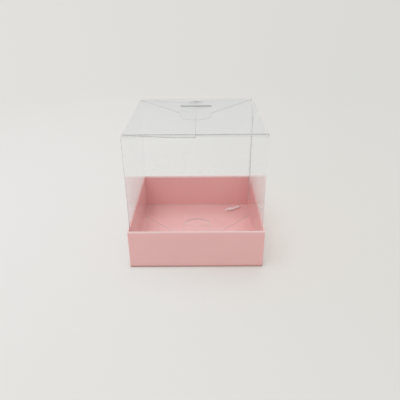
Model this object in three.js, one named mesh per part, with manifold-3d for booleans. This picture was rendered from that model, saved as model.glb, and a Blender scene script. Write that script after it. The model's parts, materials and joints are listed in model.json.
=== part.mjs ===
// A clear folding flower box that stands in a low, rolled-edge card tray.
//
// The box is one creased sheet of clear plastic: four walls closed by a glued seam, and a closure of
// four flaps at each end. Both closures work alike. Two dust flaps meet in the middle, a pointed rear
// flap lies over them, and a front flap covers all. A round-ended tongue, cut in the front flap on
// three sides, dips through a slot in the rear flap and holds the closure shut.
//
// Lengths are in millimetres. X runs left to right, Y front to rear and Z up. The origin is on the
// table, under the middle of the tray.

import * as THREE from "three";
import { mergeVertices } from "three/addons/utils/BufferGeometryUtils.js";
import Module from "manifold-3d";

const wasm = await Module();
wasm.setup();

// Card tray

const trayWidth = 80; // outside, both ways
const trayHeight = 25;
const cardThickness = 0.32;
const cardGap = 0.05; // between neighbouring layers and edges of card
const footRadius = 0.5; // outside radius of the crease between floor and wall
const cornerTabLength = 17;
const cornerTabTaper = 2.5;
const cornerTabInset = 0.9; // keeps a tab clear of the creases above and below it

// Clear box

const boxHeight = 82.9;
const sheetThickness = 0.3;
const layerGap = 0.1; // between a flap and the flap or wall next to it
const boxToTrayGap = 0.1; // between the box and the closest tray wall
const boxToFloorGap = 0.05;
const cornerRadius = 0.8; // outside radius of the upright creases
const glueFlapWidth = 9;
const glueFlapTaper = 4;
const glueFlapInset = 5;

// Flaps of both closures

const frontFlapSideInset = 1.6;
const frontFlapRearInset = 1;
const frontFlapCornerRadius = 3;
const rearFlapSideInset = 0.35;
const neckFilletLength = 3;
const dustFlapSideInset = 1.1;
const dustFlapMiddleInset = 0.15;
const dustFlapCornerCut = 2;
const tongueWidth = 18.6;
const tongueKerf = 0.12; // cut all round the tongue
const slotOpening = 2.4;
const slotOverlength = 0.7; // beyond each side of the tongue

// How far each closure's outlines reach, as shares of the box's width counted from its front wall.

const topClosureShares = {
  shoulderShare: 0.985,
  neckShare: 0.55,
  noseShare: 0.364,
  slotShare: 0.765,
  tongueEndShare: 0.897,
};
const bottomClosureShares = {
  shoulderShare: 0.77,
  neckShare: 0.39,
  noseShare: 0.204,
  slotShare: 0.6,
  tongueEndShare: 0.71,
};

// Dust flaps never lie quite flat: each leans into the box by a few degrees.

const topLeftLean = THREE.MathUtils.degToRad(3);
const otherLean = THREE.MathUtils.degToRad(1.5);

// Sizes that follow

const frontWallDepth = 2 * cardThickness + cardGap; // outer wall and lining
const sideWallDepth = 3 * cardThickness + 2 * cardGap; // outer wall, corner tab and lining
const trayHalf = trayWidth / 2;
const boxWidth = trayWidth - 2 * sideWallDepth - 2 * boxToTrayGap;
const boxHalf = boxWidth / 2;
const boxBase = cardThickness + boxToFloorGap;
const boxTop = boxBase + boxHeight;
const layerStep = sheetThickness + layerGap;
const wallInset = sheetThickness + layerGap; // from a wall's outer face to the hinge of its flap
const rearDepth = layerStep; // from the outer face of a closure to the rear flap
const dustDepth = 2 * layerStep;

// Facets

const curveSegments = 12;
const foldSegments = 5;
const weldDistance = 1e-4;

// Directions

const rightward = new THREE.Vector3(1, 0, 0);
const rearward = new THREE.Vector3(0, 1, 0);
const frontward = new THREE.Vector3(0, -1, 0);
const upward = new THREE.Vector3(0, 0, 1);
const quarterTurn = Math.PI / 2;
const sidesInTurn = ["front", "right", "rear", "left"]; // a quarter turn apart, seen from above

// Finishes

const cardFinish = { color: 0xd9a29d, roughness: 0.75, metalness: 0 };
const clearFinish = {
  color: 0xeef1f2,
  roughness: 0.08,
  metalness: 0,
  transparent: true,
  opacity: 0.25,
};

function piece(name, geometry, finish) {
  const mesh = new THREE.Mesh(geometry, new THREE.MeshStandardMaterial(finish));
  mesh.name = name;
  return mesh;
}

function extruded(outline, depth) {
  return new THREE.ExtrudeGeometry(outline, { depth, bevelEnabled: false, curveSegments });
}

// A geometry as a solid that can be joined and cut.
function solidOf(geometry) {
  const bare = geometry.clone();
  bare.deleteAttribute("normal");
  bare.deleteAttribute("uv");
  const welded = mergeVertices(bare, weldDistance);
  return new wasm.Manifold(
    new wasm.Mesh({
      numProp: 3,
      vertProperties: welded.attributes.position.array,
      triVerts: new Uint32Array(welded.index.array),
    }),
  );
}

function geometryOf(solid) {
  const mesh = solid.getMesh();
  const geometry = new THREE.BufferGeometry();
  geometry.setAttribute("position", new THREE.BufferAttribute(mesh.vertProperties, 3));
  geometry.setIndex(new THREE.BufferAttribute(mesh.triVerts, 1));
  return geometry;
}

// A section drawn as (inward, up), run along X from end to end, with its outer face on Y = 0.
function runAlongWall(section, length) {
  const geometry = extruded(section, length);
  geometry.translate(0, 0, -length / 2);
  return geometry.applyMatrix4(new THREE.Matrix4().makeBasis(rearward, upward, rightward));
}

// An outline drawn as (along, up) made into a plate with its outer face on Y = 0.
function uprightPlate(outline, thickness) {
  const geometry = extruded(outline, thickness);
  geometry.applyMatrix4(new THREE.Matrix4().makeBasis(rightward, upward, frontward));
  return geometry.translate(0, thickness, 0);
}

// An outline drawn in plan made into a level plate with its top face on Z = 0.
function levelPlate(outline, thickness) {
  return extruded(outline, thickness).translate(0, 0, -thickness);
}

function rectangle(left, right, bottom, top) {
  const outline = new THREE.Shape();
  outline.moveTo(left, bottom);
  outline.lineTo(right, bottom);
  outline.lineTo(right, top);
  outline.lineTo(left, top);
  outline.closePath();
  return outline;
}

// The outline of a sheet of even thickness that follows a path through its middle.
function foldedSheet(path, thickness) {
  const middle = [];
  for (const point of path.getPoints(foldSegments)) {
    if (!middle.length || point.distanceTo(middle.at(-1)) > weldDistance) {
      middle.push(point);
    }
  }
  const leftSide = [];
  const rightSide = [];
  middle.forEach((point, i) => {
    const before = middle[Math.max(i - 1, 0)];
    const after = middle[Math.min(i + 1, middle.length - 1)];
    const arriving = i === 0 ? after.clone().sub(point) : point.clone().sub(before);
    const leaving = i === middle.length - 1 ? point.clone().sub(before) : after.clone().sub(point);
    const heading = arriving.normalize().add(leaving.normalize()).normalize();
    const reach = thickness / 2 / heading.dot(leaving);
    const offset = new THREE.Vector2(-heading.y, heading.x).multiplyScalar(reach);
    leftSide.push(point.clone().add(offset));
    rightSide.push(point.clone().sub(offset));
  });
  return new THREE.Shape([...rightSide, ...leftSide.reverse()]);
}

// Everything on one side of the tray or box is drawn as if that side were the front, then turned.
function turnedTo(sideName, ...children) {
  const turned = new THREE.Group();
  turned.rotation.z = sidesInTurn.indexOf(sideName) * quarterTurn;
  turned.add(...children);
  return turned;
}

// Tray

// The outer wall in section: a foot that meets the floor, the upright, and the edge rolled inwards.
function trayWallSection(wallDepth) {
  const skin = cardThickness / 2;
  const rollRadius = wallDepth / 2;
  const path = new THREE.Path();
  path.absarc(footRadius, footRadius, footRadius - skin, -quarterTurn, -2 * quarterTurn, true);
  path.lineTo(skin, trayHeight - rollRadius);
  path.absarc(rollRadius, trayHeight - rollRadius, rollRadius - skin, 2 * quarterTurn, 0, true);
  return foldedSheet(path, cardThickness);
}

function trayFloor() {
  const half = trayHalf - footRadius - cardGap;
  const floor = piece(
    "tray_floor",
    levelPlate(rectangle(-half, half, -half, half), cardThickness),
    cardFinish,
  );
  floor.position.z = cardThickness;
  return floor;
}

function frontOrRearWall(name) {
  const wall = piece(name, runAlongWall(trayWallSection(frontWallDepth), trayWidth), cardFinish);
  wall.position.y = -trayHalf;
  return wall;
}

// A side wall stops short of the rolled edges and feet that cross its ends. Between them its plain
// upright reaches on to the front and rear walls.
function leftOrRightWall(name) {
  const neighbourDepth = Math.max(frontWallDepth, footRadius) + cardGap;
  const rolled = runAlongWall(trayWallSection(sideWallDepth), trayWidth - 2 * neighbourDepth);
  const uprightSection = rectangle(
    0,
    cardThickness,
    footRadius + cardGap,
    trayHeight - sideWallDepth / 2,
  );
  const upright = runAlongWall(uprightSection, trayWidth - 2 * (cardThickness + cardGap));
  const wall = piece(name, geometryOf(solidOf(rolled).add(solidOf(upright))), cardFinish);
  wall.position.y = -trayHalf;
  return wall;
}

// The lining is the rolled-in part of a wall, which hangs inside it down to the floor.
function wallLining(name, wallDepth, length) {
  const outline = rectangle(
    -length / 2,
    length / 2,
    cardThickness + cardGap,
    trayHeight - wallDepth / 2 - cardGap,
  );
  const lining = piece(name, uprightPlate(outline, cardThickness), cardFinish);
  lining.position.y = -trayHalf + wallDepth - cardThickness;
  return lining;
}

// A corner tab is the end of the front or rear wall, glued between a side wall and its lining.
function cornerTab(name, frontEndSign) {
  const root = trayHalf - cardThickness - cardGap;
  const tip = root - cornerTabLength;
  const bottom = cornerTabInset;
  const top = trayHeight - sideWallDepth / 2 - cornerTabInset;
  const outline = new THREE.Shape();
  outline.moveTo(frontEndSign * tip, bottom + cornerTabTaper);
  outline.lineTo(frontEndSign * root, bottom);
  outline.lineTo(frontEndSign * root, top);
  outline.lineTo(frontEndSign * tip, top - cornerTabTaper);
  outline.closePath();
  const tab = piece(name, uprightPlate(outline, cardThickness), cardFinish);
  tab.position.y = -trayHalf + cardThickness + cardGap;
  return tab;
}

function tray() {
  const frontLiningLength = boxWidth + 2 * boxToTrayGap - 2 * cardGap;
  const sideLiningLength = trayWidth - 2 * (footRadius + cardGap);
  const group = new THREE.Group();
  group.add(
    trayFloor(),
    turnedTo(
      "front",
      frontOrRearWall("tray_front_wall"),
      wallLining("tray_front_lining", frontWallDepth, frontLiningLength),
    ),
    turnedTo(
      "rear",
      frontOrRearWall("tray_rear_wall"),
      wallLining("tray_rear_lining", frontWallDepth, frontLiningLength),
    ),
    turnedTo(
      "right",
      leftOrRightWall("tray_right_wall"),
      wallLining("tray_right_lining", sideWallDepth, sideLiningLength),
      cornerTab("tray_front_right_corner_tab", -1),
      cornerTab("tray_rear_right_corner_tab", 1),
    ),
    turnedTo(
      "left",
      leftOrRightWall("tray_left_wall"),
      wallLining("tray_left_lining", sideWallDepth, sideLiningLength),
      cornerTab("tray_front_left_corner_tab", 1),
      cornerTab("tray_rear_left_corner_tab", -1),
    ),
  );
  return group;
}

// Walls of the box

// A wall in plan, with the upright crease at its right-hand end. It is cut back at the top and bottom
// to the level at which its own flap folds over.
function boxWall(name, cutBack) {
  const skin = sheetThickness / 2;
  const bendCentre = boxHalf - cornerRadius;
  const path = new THREE.Path();
  path.moveTo(-bendCentre + layerGap, -boxHalf + skin);
  path.lineTo(bendCentre, -boxHalf + skin);
  path.absarc(bendCentre, -bendCentre, cornerRadius - skin, -quarterTurn, 0, false);
  const height = boxHeight - 2 * cutBack;
  const wall = piece(name, extruded(foldedSheet(path, sheetThickness), height), clearFinish);
  wall.position.z = boxBase + cutBack;
  return wall;
}

// The glue flap is the far end of the sheet. It lies inside the right-hand wall, beside the rear one.
function glueFlap() {
  const root = boxHalf - cornerRadius - layerGap;
  const tip = root - glueFlapWidth;
  const bottom = boxBase + dustDepth + glueFlapInset;
  const top = boxTop - dustDepth - glueFlapInset;
  const outline = new THREE.Shape();
  outline.moveTo(tip, bottom + glueFlapTaper);
  outline.lineTo(root, bottom);
  outline.lineTo(root, top);
  outline.lineTo(tip, top - glueFlapTaper);
  outline.closePath();
  const flap = piece("box_glue_flap", uprightPlate(outline, sheetThickness), clearFinish);
  flap.position.y = -boxHalf + sheetThickness + cardGap;
  return flap;
}

function boxWalls() {
  const group = new THREE.Group();
  group.add(
    turnedTo("front", boxWall("box_front_wall", 0)),
    turnedTo("right", boxWall("box_right_wall", dustDepth), glueFlap()),
    turnedTo("rear", boxWall("box_rear_wall", rearDepth)),
    turnedTo("left", boxWall("box_left_wall", dustDepth)),
  );
  return group;
}

// Closures
//
// A closure is drawn as it lies at the top of the box, with its outer face on Z = 0 and its layers
// below. A flap is drawn from its hinge line, reaching along +Y.

const hingeLine = -boxHalf + wallInset;

// How far a share of the box's width lies from the front wall's hinge line, and from the rear wall's.
function reachFromFront(share) {
  return share * boxWidth - wallInset;
}

function reachFromRear(share) {
  return (1 - share) * boxWidth - wallInset;
}

// The round-ended tongue in plan, grown on its free sides by a margin.
function tongueOutline(shares, margin) {
  const half = tongueWidth / 2 + margin;
  const root = reachFromFront(shares.neckShare) - margin;
  const roundFrom = reachFromFront(shares.slotShare);
  const end = reachFromFront(shares.tongueEndShare) + margin;
  const outline = new THREE.Shape();
  outline.moveTo(-half, root);
  outline.lineTo(half, root);
  outline.lineTo(half, roundFrom);
  outline.absellipse(0, roundFrom, half, end - roundFrom, 0, 2 * quarterTurn, false);
  outline.closePath();
  return outline;
}

function frontFlapOutline(shares) {
  const half = boxHalf - frontFlapSideInset;
  const end = boxWidth - wallInset - frontFlapRearInset;
  const round = frontFlapCornerRadius;
  const outline = new THREE.Shape();
  outline.moveTo(-half, 0);
  outline.lineTo(half, 0);
  outline.lineTo(half, end - round);
  outline.absarc(half - round, end - round, round, 0, quarterTurn, false);
  outline.lineTo(-half + round, end);
  outline.absarc(-half + round, end - round, round, quarterTurn, 2 * quarterTurn, false);
  outline.closePath();
  outline.holes.push(tongueOutline(shares, tongueKerf));
  return outline;
}

// The tongue leaves the front flap level, drops through the slot and ends level under the rear flap.
function tongueSolid(shares) {
  const skin = sheetThickness / 2;
  const slotMiddle = reachFromFront(shares.slotShare);
  const dropFrom = slotMiddle - slotOpening / 2;
  const dropTo = slotMiddle + slotOpening / 2;
  const upper = -skin;
  const lower = -2 * layerStep - skin;
  const path = new THREE.Path();
  path.moveTo(reachFromFront(shares.neckShare) - tongueKerf + layerGap, upper);
  path.lineTo(dropFrom, upper);
  path.bezierCurveTo(slotMiddle, upper, slotMiddle, lower, dropTo, lower);
  path.lineTo(reachFromFront(shares.tongueEndShare), lower);
  const strip = runAlongWall(foldedSheet(path, sheetThickness), tongueWidth);
  const depth = 2 * layerStep + 2 * sheetThickness;
  const blank = levelPlate(tongueOutline(shares, 0), depth).translate(0, 0, sheetThickness / 2);
  return solidOf(strip).intersect(solidOf(blank));
}

// The rear flap narrows from its shoulders to a round nose, and is slotted for the tongue.
function rearFlapOutline(shares) {
  const half = boxHalf - rearFlapSideInset;
  const noseRadius = tongueWidth / 2;
  const shoulder = reachFromRear(shares.shoulderShare);
  const neck = reachFromRear(shares.neckShare);
  const noseCentre = reachFromRear(shares.noseShare) - noseRadius;
  const slot = reachFromRear(shares.slotShare);
  const slant = new THREE.Vector2(half - noseRadius, shoulder - neck).normalize();
  const fillet = slant.multiplyScalar(neckFilletLength);
  const outline = new THREE.Shape();
  outline.moveTo(-half, 0);
  outline.lineTo(half, 0);
  outline.lineTo(half, shoulder);
  outline.lineTo(noseRadius + fillet.x, neck + fillet.y);
  outline.quadraticCurveTo(noseRadius, neck, noseRadius, neck + neckFilletLength);
  outline.absarc(0, noseCentre, noseRadius, 0, 2 * quarterTurn, false);
  outline.lineTo(-noseRadius, neck + neckFilletLength);
  outline.quadraticCurveTo(-noseRadius, neck, -noseRadius - fillet.x, neck + fillet.y);
  outline.lineTo(-half, shoulder);
  outline.closePath();
  outline.holes.push(slotOutline(slot));
  return outline;
}

function slotOutline(middle) {
  const round = slotOpening / 2;
  const roundCentre = tongueWidth / 2 + slotOverlength - round;
  const outline = new THREE.Path();
  outline.absarc(roundCentre, middle, round, -quarterTurn, quarterTurn, false);
  outline.absarc(-roundCentre, middle, round, quarterTurn, 3 * quarterTurn, false);
  outline.closePath();
  return outline;
}

// A dust flap reaches the middle of the box. Its far corners are cut to pass the other flaps.
function dustFlapOutline() {
  const half = boxHalf - wallInset - dustFlapSideInset;
  const end = boxHalf - wallInset - dustFlapMiddleInset;
  const cut = dustFlapCornerCut;
  const outline = new THREE.Shape();
  outline.moveTo(-half + cut, 0);
  outline.lineTo(half - cut, 0);
  outline.lineTo(half, cut);
  outline.lineTo(half, end);
  outline.lineTo(-half, end);
  outline.lineTo(-half, cut);
  outline.closePath();
  return outline;
}

// A flap that opens outwards hinges on its upper face.
function outwardFlap(sideName, depth, ...pieces) {
  const hinge = new THREE.Group();
  hinge.name = pieces[0].name + " hinge";
  hinge.position.set(0, hingeLine, -depth);
  hinge.add(...pieces);
  return turnedTo(sideName, hinge);
}

// A flap that folds into the box hinges on its lower face, and leans in by the given angle.
function inwardFlap(sideName, depth, lean, flap) {
  const hinge = new THREE.Group();
  hinge.name = flap.name + " hinge";
  hinge.position.set(0, hingeLine, -depth - sheetThickness);
  hinge.rotation.x = -lean;
  flap.position.z = sheetThickness;
  hinge.add(flap);
  return turnedTo(sideName, hinge);
}

function closure(shares, names, leans) {
  const front = levelPlate(frontFlapOutline(shares), sheetThickness);
  const rear = levelPlate(rearFlapOutline(shares), sheetThickness);
  const dust = () => levelPlate(dustFlapOutline(), sheetThickness);
  const group = new THREE.Group();
  group.add(
    outwardFlap(
      "front",
      0,
      piece(names.frontFlap, front, clearFinish),
      piece(names.tongue, geometryOf(tongueSolid(shares)), clearFinish),
    ),
    outwardFlap("rear", rearDepth, piece(names.rearFlap, rear, clearFinish)),
    inwardFlap("left", dustDepth, leans.left, piece(names.leftDustFlap, dust(), clearFinish)),
    inwardFlap("right", dustDepth, leans.right, piece(names.rightDustFlap, dust(), clearFinish)),
  );
  return group;
}

const flowerBox = new THREE.Group();
flowerBox.name = "flower_box";

const topClosure = closure(
  topClosureShares,
  {
    frontFlap: "lid_flap",
    tongue: "lid_tongue",
    rearFlap: "top_rear_flap",
    leftDustFlap: "top_left_dust_flap",
    rightDustFlap: "top_right_dust_flap",
  },
  { left: topLeftLean, right: otherLean },
);
topClosure.position.z = boxTop;

// The bottom closure is the same thing turned over, so its drawn left is the box's right.
const bottomClosure = closure(
  bottomClosureShares,
  {
    frontFlap: "bottom_front_flap",
    tongue: "bottom_tongue",
    rearFlap: "bottom_rear_flap",
    leftDustFlap: "bottom_right_dust_flap",
    rightDustFlap: "bottom_left_dust_flap",
  },
  { left: otherLean, right: otherLean },
);
bottomClosure.position.z = boxBase;
bottomClosure.rotation.y = 2 * quarterTurn;

flowerBox.add(tray(), boxWalls(), topClosure, bottomClosure);

export default flowerBox;
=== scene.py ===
# %% [markdown]
# # A clear flower box in a card tray
#
# This lesson dresses a small gift box of the kind that holds one flower head. It is made of two sheets.
# A creased sheet of clear plastic stands as a cube, closed above and below by flaps that lock with a
# round tongue. A sheet of pink card makes the low tray that it stands in.
#
# The solids were packed before, each panel between two creases on its own. They say where everything is
# and how it moves. Here each panel is made again as a real sheet: with rounded folds, cut edges, a
# little bow, and a surface that card or plastic really has.

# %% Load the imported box
import json
import math

import bpy
from mathutils import Matrix, Vector
from mathutils.geometry import delaunay_2d_cdt


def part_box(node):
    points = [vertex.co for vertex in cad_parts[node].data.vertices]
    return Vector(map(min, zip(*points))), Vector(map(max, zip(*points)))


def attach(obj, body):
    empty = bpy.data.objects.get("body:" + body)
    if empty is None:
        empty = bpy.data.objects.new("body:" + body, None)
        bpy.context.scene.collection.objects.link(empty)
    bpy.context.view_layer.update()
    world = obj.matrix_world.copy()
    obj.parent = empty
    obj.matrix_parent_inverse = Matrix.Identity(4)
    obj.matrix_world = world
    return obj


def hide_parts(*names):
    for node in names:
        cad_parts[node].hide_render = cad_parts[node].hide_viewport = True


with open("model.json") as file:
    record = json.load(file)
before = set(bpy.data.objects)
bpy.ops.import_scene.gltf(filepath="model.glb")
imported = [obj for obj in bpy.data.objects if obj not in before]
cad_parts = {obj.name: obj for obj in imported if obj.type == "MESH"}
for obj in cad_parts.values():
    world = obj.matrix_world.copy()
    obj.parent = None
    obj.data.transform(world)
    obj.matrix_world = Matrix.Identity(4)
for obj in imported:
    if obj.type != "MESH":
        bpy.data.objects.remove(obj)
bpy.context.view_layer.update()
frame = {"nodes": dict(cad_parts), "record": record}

mm = 0.001
quarter = math.pi / 2
scene = bpy.context.scene
body_of_node = {}
for body, nodes in frame["record"]["behaviour"]["bodies"].items():
    for node_name in nodes:
        body_of_node[node_name] = body

# %% [markdown]
# ## The camera
#
# The camera's place was worked out from the corners of the box in the photograph: it stands about 24 cm
# in front and looks 27 degrees down. Blender's camera looks along its own -Z with +Y up. So it is first
# rolled about its own axis, then raised about X until it looks down by the right angle, and last turned
# about Z. A Track To constraint could aim it too, but couldn't give the small roll of the photograph.

# %% Place the camera
focal_share = 1.0135  # focal length as a share of the picture's width
camera_pitch = math.radians(27.388)
camera_yaw = math.radians(-0.233)
camera_roll = math.radians(0.427)
camera_place = Vector((3.22, -240.17, 149.28)) * mm

camera_data = bpy.data.cameras.new("camera")
camera_data.lens = camera_data.sensor_width * focal_share
camera_data.clip_start = 10 * mm
camera = bpy.data.objects.new("camera", camera_data)
rolled = Matrix.Rotation(-camera_roll, 4, "Z")
raised = Matrix.Rotation(quarter - camera_pitch, 4, "X")
camera.matrix_world = Matrix.Translation(camera_place) @ Matrix.Rotation(-camera_yaw, 4, "Z") @ raised @ rolled
scene.collection.objects.link(camera)
scene.camera = camera
print("camera lens", round(camera_data.lens, 2), "mm")

# %% [markdown]
# ## Helpers for node trees
#
# Materials and Geometry Nodes are both trees of nodes. Written out in full, each node takes many lines:
# one for each setting and each link. One helper does it all. A node or an output is linked, and
# anything else is set as a number or colour. The other helpers name the nodes that come back often.


# %% Put nodes in trees
def add(tree, kind, inputs=None, **settings):
    node = tree.nodes.new(kind)
    for key, value in settings.items():
        setattr(node, key, value)
    for key, value in (inputs or {}).items():
        if isinstance(value, bpy.types.Node):
            value = value.outputs[0]
        if isinstance(value, bpy.types.NodeSocket):
            tree.links.new(value, node.inputs[key])
        else:
            node.inputs[key].default_value = value
    return node


def sums(tree, operation, a, b=0.0, clamp=False):
    return add(tree, "ShaderNodeMath", {0: a, 1: b}, operation=operation, use_clamp=clamp).outputs[0]


def times(tree, a, b, clamp=False):
    return sums(tree, "MULTIPLY", a, b, clamp)


def minus(tree, a, b, clamp=False):
    return sums(tree, "SUBTRACT", a, b, clamp)


def mixed(tree, share, a, b):
    return add(tree, "ShaderNodeMix", {"Factor": share, 6: a, 7: b}, data_type="RGBA").outputs[2]


def between(tree, value, low, high, start=0.0, stop=1.0, **settings):
    ends = {"Value": value, "From Min": start, "From Max": stop, "To Min": low, "To Max": high}
    return add(tree, "ShaderNodeMapRange", ends, **settings).outputs["Result"]


def noise(tree, place, scale, **more):
    return add(tree, "ShaderNodeTexNoise", {"Vector": place, "Scale": scale, **more}).outputs["Fac"]


print("node helpers ready")


# %% Start groups and materials
def effect_group(name, numbers, outputs):
    tree = bpy.data.node_groups.new(name, "ShaderNodeTree")
    tree.interface.new_socket("Vector", in_out="INPUT", socket_type="NodeSocketVector")
    for title, value in numbers.items():
        socket = tree.interface.new_socket(title, in_out="INPUT", socket_type="NodeSocketFloat")
        socket.default_value = value
    for title in outputs:
        tree.interface.new_socket(title, in_out="OUTPUT", socket_type="NodeSocketFloat")
    return tree, tree.nodes.new("NodeGroupInput").outputs, tree.nodes.new("NodeGroupOutput").inputs


def use(tree, group, place, numbers):
    return add(tree, "ShaderNodeGroup", {"Vector": place, **numbers}, node_tree=group)


def new_material(name):
    material = bpy.data.materials.new(name)
    material.use_nodes = True
    tree = material.node_tree
    tree.nodes.clear()
    print("material", name)
    return material, tree, add(tree, "ShaderNodeTexCoord").outputs["Object"]


def painted(tree, title):
    return add(tree, "ShaderNodeAttribute", attribute_name=title).outputs["Fac"]


def bumped(tree, height, strength, distance):
    return add(tree, "ShaderNodeBump", {"Height": height, "Strength": strength, "Distance": distance})


def principled(tree, inputs):
    return add(tree, "ShaderNodeBsdfPrincipled", inputs)


def lay_over(tree, shader):
    add(tree, "ShaderNodeOutputMaterial", {"Surface": shader})


print("group and material helpers ready")

# %% [markdown]
# ## Effects that several finishes share
#
# Three things happen to card and plastic alike. The line along a fold, partly wear and whitening,
# partly painted light and shade, is never even along its length. A surface has a fine grain under slow
# clouds of tone. Handling leaves hair scratches and a few specks of dust. Each is a shader node group,
# built once. A group gives out only masks and heights, and each finish decides what colour or
# roughness they stand for.

# %% Uneven wear and painted light along folds
tree, given, result = effect_group("uneven_fold_mask", {"Fold": 0.0, "Break Scale": 300.0, "Unevenness": 0.5}, ["Wear"])
uneven_fold_mask = tree
breaks = noise(tree, given["Vector"], given["Break Scale"])
left = minus(tree, 1.0, times(tree, breaks, given["Unevenness"]))
tree.links.new(times(tree, left, given["Fold"], clamp=True), result["Wear"])
print("group", uneven_fold_mask.name)

# %% Fine grain under slow clouds
grain_numbers = {"Grain Scale": 2500.0, "Cloud Scale": 60.0, "Cloud Share": 0.6}
tree, given, result = effect_group("fine_grain", grain_numbers, ["Tone", "Relief"])
fine_grain = tree
grain = noise(tree, given["Vector"], given["Grain Scale"], Detail=3.0, Roughness=0.65)
clouds = noise(tree, given["Vector"], given["Cloud Scale"], Detail=2.0)
tone = add(tree, "ShaderNodeMix", {"Factor": given["Cloud Share"], 2: grain, 3: clouds}, data_type="FLOAT")
tree.links.new(tone.outputs[0], result["Tone"])
tree.links.new(grain, result["Relief"])
print("group", fine_grain.name)

# %% Hair scratches and dust
mark_numbers = {"Scratch Scale": 40.0, "Speck Scale": 260.0, "Amount": 0.5}
tree, given, result = effect_group("handling_marks", mark_numbers, ["Marks"])
handling_marks = tree
swirls = noise(tree, given["Vector"], given["Scratch Scale"], Detail=4.0, Distortion=2.5)
off_line = sums(tree, "ABSOLUTE", minus(tree, swirls, 0.5))
hairs = between(tree, off_line, 1.0, 0.0, stop=0.004)
patches = noise(tree, given["Vector"], given["Scratch Scale"], Detail=1.0)
scratched = times(tree, hairs, between(tree, patches, 0.0, 1.0, start=0.5, stop=0.7))
specks = add(tree, "ShaderNodeTexVoronoi", {"Vector": given["Vector"], "Scale": given["Speck Scale"]})
dots = between(tree, specks.outputs["Distance"], 1.0, 0.0, start=0.03, stop=0.06)
marks = sums(tree, "MAXIMUM", scratched, dots)
tree.links.new(times(tree, marks, given["Amount"], clamp=True), result["Marks"])
print("group", handling_marks.name)

# %% [markdown]
# ## Finish: pink card
#
# The tray is smooth coated card, dyed pink on its face. A single colour would look like plastic. The
# grain group gives it soft clouds and a fine tooth, and the bump makes that tooth catch the light.
# Where the card is folded, its coat is stretched and turns paler: that is the thin light line along the
# rolled edges, which is also a painted highlight, of a different strength on each side. The mask for
# it, an attribute named fold, is painted on each mesh when it is made. A second mask darkens the card
# with painted shade under a rolled edge and along the foot, where the roll and the floor shade it.

# %% The face of the card
card_pink = (0.84, 0.475, 0.465, 1)
card_pink_light = (0.89, 0.525, 0.51, 1)
card_pale_wear_and_highlight = (0.99, 0.86, 0.835, 1)
card_rub_pale = (0.9, 0.62, 0.59, 1)
card_painted_shade = (0.5, 0.22, 0.2, 1)

card_face, tree, place = new_material("card_face")
paper = use(tree, fine_grain, place, {"Grain Scale": 2600.0, "Cloud Scale": 45.0, "Cloud Share": 0.65})
wear_and_painted_light = use(tree, uneven_fold_mask, place, {"Fold": painted(tree, "fold"), "Break Scale": 500.0, "Unevenness": 0.45})
rubbed = use(tree, handling_marks, place, {"Scratch Scale": 25.0, "Speck Scale": 190.0, "Amount": 0.35})
colour = mixed(tree, paper, card_pink, card_pink_light)
colour = mixed(tree, rubbed, colour, card_rub_pale)
colour = mixed(tree, wear_and_painted_light, colour, card_pale_wear_and_highlight)
card_inputs = {
    # The second mask lays painted shade under the rolled edges and along the foot.
    "Base Color": mixed(tree, painted(tree, "painted_shade"), colour, card_painted_shade),
    "Roughness": between(tree, paper, 0.42, 0.62),
    "Normal": bumped(tree, paper.outputs["Relief"], 0.25, 0.03 * mm),
    "Specular IOR Level": 0.5,
}
lay_over(tree, principled(tree, card_inputs))

# %% [markdown]
# ## Finish: the card's cut edge
#
# A cut shows the card's pale core, made of pressed layers. The same grain group is used again, much
# finer, so that its clouds turn into short fibres.

# %% The card's cut edge
core_white = (0.9, 0.78, 0.75, 1)
core_pink = (0.85, 0.6, 0.57, 1)

card_core, tree, place = new_material("card_core")
fibres = use(tree, fine_grain, place, {"Grain Scale": 6000.0, "Cloud Scale": 900.0, "Cloud Share": 0.5})
core_inputs = {
    "Base Color": mixed(tree, fibres, core_pink, core_white),
    "Roughness": between(tree, fibres, 0.7, 0.9),
    "Normal": bumped(tree, fibres.outputs["Relief"], 0.4, 0.04 * mm),
}
lay_over(tree, principled(tree, core_inputs))

# %% [markdown]
# ## Finish: clear sheet
#
# The sheet is thin, clear and glossy. Each panel is a closed solid 0.3 mm thick, and light crosses many
# of them. With the index of real plastic, rays that enter a panel at a fold meet its other skin from
# inside, are trapped there, and draw thick black lines. So the Principled glass gets an index close to
# that of air, and light goes straight through it. The reflections come from a clear coat: weak when
# seen square on, strongest on the side walls, which are seen at a grazing angle. A slow, faint bump
# under the coat stands for the way that a thin sheet is never quite flat.
#
# Glass in Cycles blocks light from lamps. A Light Path node mends that: rays that carry light, to
# shadows and from diffuse surfaces, meet a plain Transparent shader in its place. The Light Path and the
# shaders stay in the material and not in a group.
#
# Scratches and specks turn the sheet a little grey and dull.

# %% Let light through glass
unbending = 1.01  # an index just above that of air


def light_through(tree, glass, tint):
    path = add(tree, "ShaderNodeLightPath")
    carries_light = sums(tree, "MAXIMUM", path.outputs["Is Shadow Ray"], path.outputs["Is Diffuse Ray"])
    passing = add(tree, "ShaderNodeBsdfTransparent", {"Color": tint})
    return add(tree, "ShaderNodeMixShader", {"Fac": carries_light, 1: glass, 2: passing})


# %% The clear sheet
sheet_clear = (0.988, 0.995, 0.997, 1)
sheet_fold_grey = (0.6, 0.6, 0.6, 1)
sheet_mark_grey = (0.8, 0.8, 0.8, 1)
light_through_face = (0.995, 0.995, 0.995, 1)

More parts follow.
